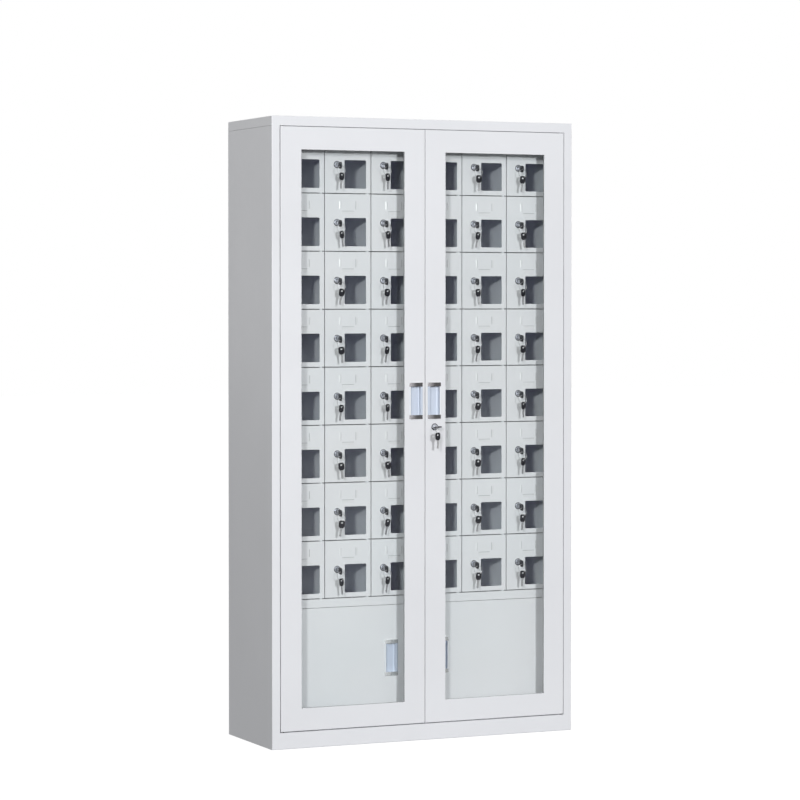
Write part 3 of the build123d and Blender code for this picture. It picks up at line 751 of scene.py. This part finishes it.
def bow_solid():
    """Moulded key bow: a rounded shield with the ring's slot at the origin, and a raised grip field."""
    shoulder_r, flank_r, foot_half = 6.0, 5.5, 4.6
    slot_x, slot_r, field_half = 1.2, 2.4, 5.2
    shoulder_x, shoulder_z = BOW_HALF - shoulder_r, HOLE_FROM_END - shoulder_r
    flank_x, flank_z = BOW_HALF - flank_r, BOW_END + 7.5
    outline = arc(-shoulder_x, shoulder_z, shoulder_r, 90, 180, 6)
    outline += arc(-flank_x, flank_z, flank_r, 180, 235, 4)
    outline += [(-foot_half, BOW_END), (foot_half, BOW_END)]
    outline += arc(flank_x, flank_z, flank_r, -55, 0, 4)
    outline += arc(shoulder_x, shoulder_z, shoulder_r, 0, 90, 6)
    slot = arc(-slot_x, 0, slot_r, 90, 270, 6) + arc(slot_x, 0, slot_r, -90, 90, 6)
    field = rounded(-field_half, field_half, BOW_END + 2.2, -5.2, 2.2, 3)
    return slab([outline, slot[::-1]], BOW_THICKNESS, 0.7, 3), slab([field], GRIP_THICKNESS, 0.25)


def blade_solid():
    """Key blade with cut teeth on one edge and a raised rail, hanging below the bow."""
    start, end, half = BOW_END + 0.5, BOW_END - BLADE_LENGTH, BLADE_HALF
    cuts = [0.0, 1.6, 0.7, 2.1, 1.1, 1.9, 0.6, 1.4, 0.3]
    step = (start - end - 6.5) / len(cuts)
    teeth = []
    for i, cut in enumerate(cuts):
        z = start - 4.5 - i * step
        teeth += [(half - cut, z), (half - cut, z - step * 0.45)]
    outline = [(-half, start), (half, start), *teeth, (2.4, end + 1.2), (0.8, end), (-1.6, end)]
    outline.append((-half, end + 2))
    rail = [(-2.4, start - 1), (-1.2, start - 1), (-1.2, end + 3), (-2.4, end + 3)]
    return slab([outline[::-1]], BLADE_THICKNESS, 0.15), slab([rail], RAIL_THICKNESS, 0.1)


def key_parts(matrix):
    solids = [(solid, key_plastic) for solid in bow_solid()]
    solids += [(solid, key_nickel) for solid in blade_solid()]
    return [(moved(solid, matrix), material) for solid, material in solids]


# Keys in their locks, blade along +Y: a cell's key droops a little, the glass door's lies nearly flat.
HOLE_AT = Vector((0, -HOLE_REACH * math.cos(DROOP), -KEY_SAG - HOLE_REACH * math.sin(DROOP)))
INTO_LOCK = turn(math.pi / 2, "X") @ turn(math.pi / 2, "Z")
KEY_IN_CELL = Matrix.Translation(HOLE_AT) @ turn(DROOP, "X") @ INTO_LOCK
KEY_IN_GLASS_DOOR = shift(y=-HOLE_REACH) @ turn(math.pi / 2 + KEY_TURN, "Y") @ INTO_LOCK


# ---- Cell doors ----
def lance(length, run):
    """Ramp pressed out of the sheet, rising towards +X, and a thin block under its open edge for the
    slit's painted shade.
    """
    section = [
        (-run, 0.05), (-run + 0.6, -0.45), (1.0, -1.05), (1.6, -1.15), (2.1, -0.95), (2.2, -0.6),
        (2.2, -0.2), (1.2, -0.2), (-0.6, 0.05),
    ]
    half = length / 2
    ramp = loops_solid([[Vector((px, py, h)) for px, py in section] for h in (-half, half)], closed=False)
    slit = block((2.15, 3.3), (-0.04, 0.3), (-half - 0.6, half + 0.6), 0)
    return ramp, slit


def card_lances():
    """Three lances that hold a card: left, right and below, each open towards the card."""
    left, right = CARD_CENTRE - CARD_WIDTH / 2, CARD_CENTRE + CARD_WIDTH / 2
    places = [
        (CARD_SIDE_LENGTH, CARD_SIDE_RUN, shift(x=left + 1.8, z=CARD_MIDDLE)),
        (CARD_SIDE_LENGTH, CARD_SIDE_RUN, shift(x=right, z=CARD_MIDDLE) @ MIRROR),
        (CARD_REST_LENGTH, CARD_REST_RUN, shift(x=CARD_CENTRE, z=CARD_REST) @ turn(-math.pi / 2, "Y")),
    ]
    parts = []
    for length, run, place in places:
        ramp, slit = lance(length, run)
        # Ramps in the lighter lance paint (painted highlight), slits in dark paint (painted shade).
        parts += [(moved(ramp, place), lance_glossy_painted_highlight), (moved(slit, place), slit_painted_shade_coat)]
    return parts


def cell_leaf():
    """Pressed cell door leaf with a rolled window edge."""
    rect = (SEAM / 2, CELL_W - SEAM / 2, SEAM / 2, CELL_H - SEAM / 2)
    fold = [
        (0, LEAF_DEPTH - 0.2), (-0.2, LEAF_DEPTH), (-SHEET + 0.2, LEAF_DEPTH),
        (-SHEET, LEAF_DEPTH - 0.2), (-SHEET, SHEET),
    ]
    outer = bend(rect, LEAF_BEND, 0, 90, 0, corner=LEAF_CORNER)
    outer += [on_plane(grown(rect, d, LEAF_CORNER), y) for d, y in fold]
    rim = bend(WINDOW, WINDOW_BEND, 0, 90, 0, corner=WINDOW_CORNER, sign=1, steps=3)
    rim.append(on_plane(grown(WINDOW, 0, WINDOW_CORNER), SHEET))
    return sheet_skin([outer, rim])


def window_pane():
    x0, x1, z0, z1 = WINDOW
    x, z = (x0 - WINDOW_OVERLAP, x1 + WINDOW_OVERLAP), (z0 - WINDOW_OVERLAP, z1 + WINDOW_OVERLAP)
    return block(x, (SHEET, SHEET + WINDOW_PANE), z, 0.25)


def cell_keys(sway, lean, spin):
    """One key in the lock, the ring hanging from its bow, and a spare key hanging from the ring."""
    swung = Matrix.Translation(HOLE_AT) @ turn(sway, "Y")
    spare = swung @ shift(z=-2 * RING_DROP) @ turn(lean - sway, "Y") @ turn(math.pi / 2 + spin, "Z")
    ring = moved(key_ring(), swung @ shift(z=-RING_DROP))
    return key_parts(KEY_IN_CELL) + [(ring, steel)] + key_parts(spare)


def cell_door(row, column):
    """Leaf, window, lock and keys of one compartment, the keys hung a little differently in each."""
    cell, tag = f"cell_door_row{row + 1}_col{column + 1}", f"r{row + 1}c{column + 1}"
    at = shift(COLUMN_X[column], BANK_FRONT, ROW_Z[row])
    lock = at @ shift(x=CELL_LOCK[0], z=CELL_LOCK[1])
    # The leaf in the darker recessed paint: painted shade.
    leaf = [(cell_leaf(), recessed_painted_shade), *card_lances()]
    cam, screw = cam_solid(BARREL_END, CELL_CAM_REACH, up=False), screw_solid(BARREL_END + CAM_THICKNESS)
    lock_parts = bezel_parts() + [(plug_face(), chrome)]
    lock_parts += [(solid, steel) for solid in (nut_solid(), cam, screw)]
    sway, lean, spin = -dice.uniform(*SWAY), dice.uniform(*LEAN), dice.uniform(*SPIN)
    finish_piece(f"leaf_{tag}", leaf, cell, [cell], at)
    finish_piece(f"window_{tag}", [(window_pane(), acrylic)], cell, [cell], at)
    finish_piece(f"lock_{tag}", lock_parts, cell, [cell], lock)
    finish_piece(f"keys_{tag}", cell_keys(sway, lean, spin), cell, [cell], lock)


dice = random.Random(41)
COLUMN_X = [-BANK_HALF + CELL_W * column for column in range(COLUMNS)]
ROW_Z = [BANK_BOTTOM + CELL_H * (ROWS - 1 - row) for row in range(ROWS)]
for row in range(ROWS):
    for column in range(COLUMNS):
        cell_door(row, column)


# ---- Lock in the right glass door ----
def door_lock_keys():
    """One key in the lock, its ring hanging aside from the bow, and a spare key below."""
    ring_x = math.sqrt(RING_R**2 - GLASS_RING_SAG**2)
    ring_at = shift(y=-HOLE_REACH) @ turn(GLASS_RING_TURN, "Z") @ shift(x=ring_x, z=-GLASS_RING_SAG)
    spare = ring_at @ shift(z=-RING_DROP) @ turn(GLASS_SPARE_TWIST, "Z")
    return key_parts(KEY_IN_GLASS_DOOR) + [(moved(key_ring(), ring_at), steel)] + key_parts(spare)


level_face = moved(plug_face(KEYWAY_HALF_HEIGHT, KEYWAY_HALF_WIDTH), turn(KEY_TURN, "Y"))
core_r, core_start = PLUG_R - 0.1, 0.6
plug_parts = [
    (level_face, lock_satin),
    (turned([(0, core_start), (core_r, core_start), (core_r, GLASS_CAM_Y), (0, GLASS_CAM_Y)]), chrome),
    (cam_solid(GLASS_CAM_Y, GLASS_CAM_REACH, up=True), steel),
    (screw_solid(GLASS_CAM_Y + CAM_THICKNESS), steel),
]
housing_parts = bezel_parts() + [(nut_solid(), steel)]
hardware, lock_body = "right_glass_door_hardware", "glass_door_lock"
at = shift(GLASS_LOCK[0], FRONT, GLASS_LOCK[1])
finish_piece("door_lock_housing", housing_parts, "right_glass_door", [hardware], at)
finish_piece("door_lock_plug", plug_parts, lock_body, [lock_body], at)
finish_piece("door_lock_keys", door_lock_keys(), lock_body, [lock_body], at)


# ---- Rack with flat hinge lugs in the seams, and the pins ----
def hinge_lug(x, z):
    y = (BANK_FRONT + 0.2, RACK_FRONT - 0.05)
    return block((x + LUG_X[0], x + LUG_X[1]), y, (z - LUG_HALF, z + LUG_HALF), 0.35)


def paint_rack_light_and_shade(piece):
    """Painted light and shade: a paler paint on the compartments' side walls, and dark front edges behind
    the seams.
    """
    piece.data.materials.append(seam_painted_shade_coat)
    slots = {material.name: i for i, material in enumerate(piece.data.materials)}
    for face in piece.data.polygons:
        depth = face.center.y * 1000
        if abs(face.normal.x) > 0.9 and depth > RACK_FRONT + 1:
            face.material_index = slots[rack_wall_painted_light.name]
        elif face.normal.y < -0.9 and BANK_FRONT + 5 < depth < RACK_FRONT + 0.1:
            face.material_index = slots[seam_painted_shade_coat.name]


rack = bmesh.new()
rack.from_mesh(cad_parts["cell_rack"].data)
rack.transform(Matrix.Scale(1000, 4))
# The rack in the darker recessed paint: painted shade.
rack_parts = [(rack, recessed_painted_shade)]
# Hinge lugs in the paler paint: painted light, bright spots in the shaded seams.
rack_parts += [(hinge_lug(x, z), rack_wall_painted_light) for x in COLUMN_X for z in [*ROW_Z, BANK_TOP]]
paint_rack_light_and_shade(finish_piece("locker_rack", rack_parts, "cabinet", ["cell_rack"]))

# Hinge pins in darkened steel: partly painted shade.
for material_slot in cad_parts["hinge_pins"].material_slots:
    material_slot.material = pin_painted_shade_steel


# ---- Floor, light and camera: places in metres, angles in degrees ----
def seen_or(nodes, links, rays):
    """Largest of the named Light Path outputs."""
    path = nodes.new("ShaderNodeLightPath")
    value = path.outputs[rays[0]]
    for ray in rays[1:]:
        most = nodes.new("ShaderNodeMath")
        most.operation = "MAXIMUM"
        links.new(value, most.inputs[0])
        links.new(path.outputs[ray], most.inputs[1])
        value = most.outputs[0]
    return value


WORLD_LEVEL, FLOOR_SEEN, FLOOR_MIRRORED = 0.39, 0.9, 0.12
FLOOR_TONE, FLOOR_HALF = 0.24, 30.0
DARK_SIDE, DARK_CORE, DARK_EDGE, DARK_TONE = 30.0, 0.98, 0.945, 0.12
CENTRE = Vector((0.0, -0.175, 1.0))
KEY_PLACE, KEY_SIZE, KEY_LEVEL, KEY_COLOUR = (12, 1.4, 9.5), 1.06, 0.452, (0.985, 0.99, 1.0)
FILL_PLACE, FILL_SIZE, FILL_LEVEL, FILL_COLOUR = (20, 36.7, 13.0), 1.8, 0.34, (1.0, 1.0, 0.99)
LENS, SENSOR, LENS_SHIFT = 132.399, 36, -0.05
CAMERA_PLACE, CAMERA_PITCH, CAMERA_YAW = (-3.7026, -8.1169, 1.3177), -1.1951, -24.5045


def blend_shaders(nodes, links, share, first, second):
    mix = nodes.new("ShaderNodeMixShader")
    for socket, output in zip(mix.inputs, (share, first, second)):
        links.new(output, socket)
    return mix.outputs[0]


def mirrored_room(nodes, links):
    """What glossy surfaces mirror: a white room with one dark patch, its edge soft."""
    side = math.radians(DARK_SIDE)
    where = nodes.new("ShaderNodeTexCoord")
    facing = nodes.new("ShaderNodeVectorMath")
    facing.operation = "DOT_PRODUCT"
    facing.inputs[1].default_value = (math.sin(side), -math.cos(side), 0)
    room = nodes.new("ShaderNodeMapRange")
    room.interpolation_type = "SMOOTHSTEP"
    room.inputs["From Min"].default_value, room.inputs["From Max"].default_value = DARK_CORE, DARK_EDGE
    room.inputs["To Min"].default_value, room.inputs["To Max"].default_value = DARK_TONE, 1.0
    light = nodes.new("ShaderNodeBackground")
    links.new(where.outputs["Generated"], facing.inputs[0])
    links.new(facing.outputs["Value"], room.inputs["Value"])
    links.new(room.outputs["Result"], light.inputs["Color"])
    return light.outputs[0]


def studio_world():
    """Even white light, another room for mirrored rays, and plain white for what the camera sees."""
    world = bpy.data.worlds.new("studio")
    bpy.context.scene.world = world
    world.use_nodes = True
    nodes, links = world.node_tree.nodes, world.node_tree.links
    plain, white = nodes["Background"], nodes.new("ShaderNodeBackground")
    plain.inputs["Color"].default_value = white.inputs["Color"].default_value = (1, 1, 1, 1)
    plain.inputs["Strength"].default_value = WORLD_LEVEL
    glossy, room = seen_or(nodes, links, ["Is Glossy Ray"]), mirrored_room(nodes, links)
    lit = blend_shaders(nodes, links, glossy, plain.outputs[0], room)
    direct = seen_or(nodes, links, ["Is Camera Ray", "Is Transmission Ray"])
    shown = blend_shaders(nodes, links, direct, lit, white.outputs[0])
    links.new(shown, nodes["World Output"].inputs["Surface"])


def floor_paint():
    """Grey paint that glows for the camera: the floor looks pale but throws little light back."""
    material, nodes, links, shader = graph("studio_floor")
    shader.inputs["Base Color"].default_value = (FLOOR_TONE, FLOOR_TONE, FLOOR_TONE, 1)
    shader.inputs["Roughness"].default_value = 0.9
    shader.inputs["Specular IOR Level"].default_value = 0.1
    seen = nodes.new("ShaderNodeMath")
    seen.operation = "MULTIPLY"
    seen.inputs[1].default_value = FLOOR_SEEN
    links.new(seen_or(nodes, links, ["Is Camera Ray", "Is Transmission Ray"]), seen.inputs[0])
    lift = nodes.new("ShaderNodeMath")
    lift.operation = "MULTIPLY_ADD"
    lift.inputs[1].default_value = FLOOR_MIRRORED
    links.new(seen_or(nodes, links, ["Is Glossy Ray"]), lift.inputs[0])
    links.new(seen.outputs[0], lift.inputs[2])
    glow = nodes.new("ShaderNodeEmission")
    links.new(lift.outputs[0], glow.inputs["Strength"])
    both = nodes.new("ShaderNodeAddShader")
    links.new(shader.outputs[0], both.inputs[0])
    links.new(glow.outputs[0], both.inputs[1])
    links.new(both.outputs[0], nodes["Material Output"].inputs["Surface"])
    return material


def studio_floor():
    mesh = bpy.data.meshes.new("floor")
    reach = FLOOR_HALF
    corners = [(-reach, -reach, 0), (reach, -reach, 0), (reach, reach, 0), (-reach, reach, 0)]
    mesh.from_pydata(corners, [], [(0, 1, 2, 3)])
    mesh.materials.append(floor_paint())
    floor = bpy.data.objects.new("floor", mesh)
    bpy.context.scene.collection.objects.link(floor)


def soft_light(name, place, size, level, colour):
    """Round lamp aimed at CENTRE, where it gives a surface facing it this share of full brightness.

    The place is its distance from CENTRE, then degrees to the left of the front and degrees up.
    """
    distance, left, up = place[0], math.radians(place[1]), math.radians(place[2])
    offset = Vector((-math.sin(left) * math.cos(up), -math.cos(left) * math.cos(up), math.sin(up)))
    position = CENTRE + distance * offset
    lamp = bpy.data.lights.new(name, "AREA")
    lamp.shape, lamp.size, lamp.color = "DISK", size, colour
    away = CENTRE - position
    lamp.energy = level * math.pi**2 * away.length_squared
    holder = bpy.data.objects.new(name, lamp)
    holder.location = position
    holder.rotation_euler = away.to_track_quat("-Z", "Y").to_euler()
    bpy.context.scene.collection.objects.link(holder)


def place_camera():
    lens = bpy.data.cameras.new("camera")
    lens.sensor_width, lens.lens, lens.shift_y, lens.clip_end = SENSOR, LENS, LENS_SHIFT, 100
    camera = bpy.data.objects.new("camera", lens)
    camera.location = CAMERA_PLACE
    camera.rotation_euler = (math.radians(90 + CAMERA_PITCH), 0, math.radians(CAMERA_YAW))
    bpy.context.scene.collection.objects.link(camera)
    bpy.context.scene.camera = camera


studio_world()
studio_floor()
soft_light("key_light", KEY_PLACE, KEY_SIZE, KEY_LEVEL, KEY_COLOUR)
soft_light("fill_light", FILL_PLACE, FILL_SIZE, FILL_LEVEL, FILL_COLOUR)
place_camera()
bpy.context.scene.view_settings.view_transform = "Standard"
